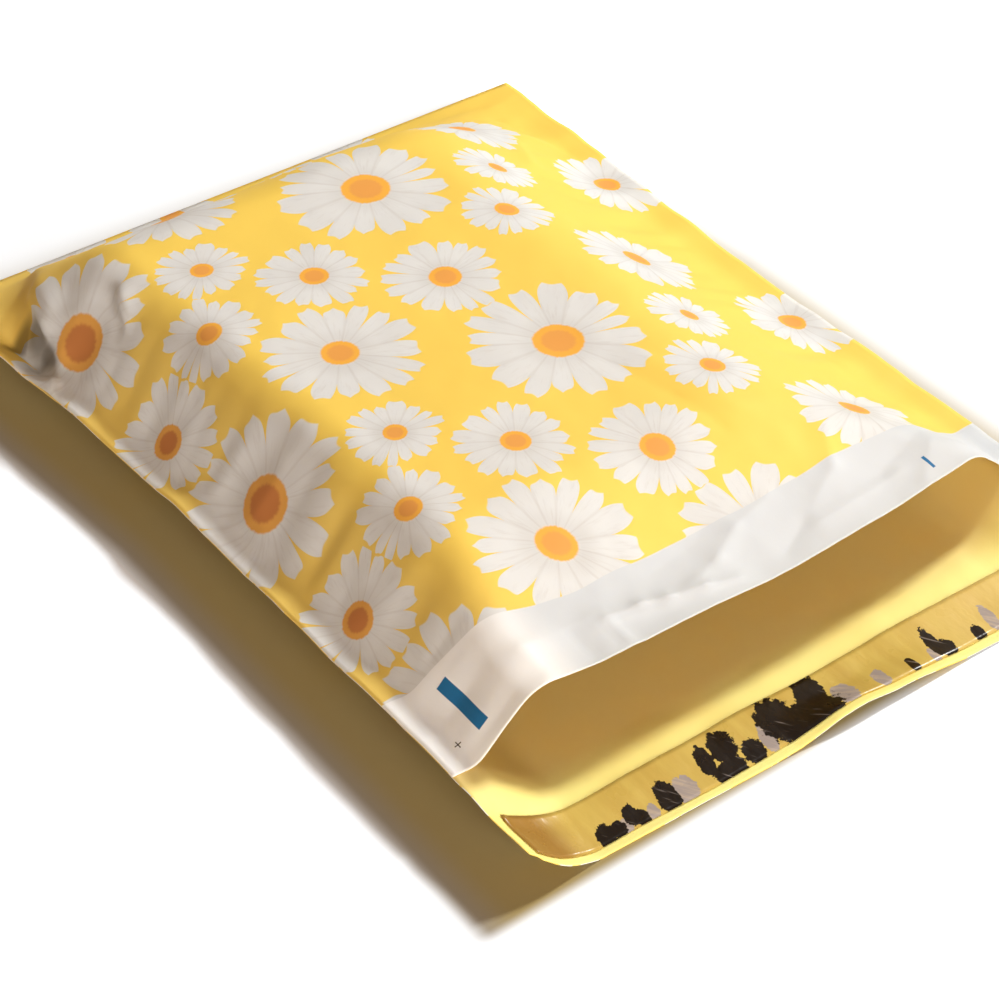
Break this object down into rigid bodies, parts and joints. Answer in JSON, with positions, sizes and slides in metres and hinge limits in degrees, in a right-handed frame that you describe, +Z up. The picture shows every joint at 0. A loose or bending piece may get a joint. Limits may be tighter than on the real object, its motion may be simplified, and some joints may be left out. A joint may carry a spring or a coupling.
{
  "type": "poly mailer bag",
  "caption": "Filled-out poly mailer bag lying on its back: welded sides, folded closed end, open mouth, and an unfolded flap with adhesive strip and release liner.",
  "frame": {"origin": "middle of the bag's plan, flap included, on the flat underside of the back panel that the bag lies on", "axes": "+Y along the bag towards its closed end, -Y towards the mouth and flap, +X across it, +Z up out of the printed front panel"},
  "size_m": [0.25, 0.331, 0.0469],
  "materials": {
    "printed_film": "satin printed polyethylene film",
    "adhesive": "tacky clear amber hot melt",
    "liner": "glossy clear release film"
  },
  "bodies": {
    "root": {"mailer_film": "printed_film", "adhesive_strip": "adhesive", "release_liner": "liner"}
  },
  "joints": []
}
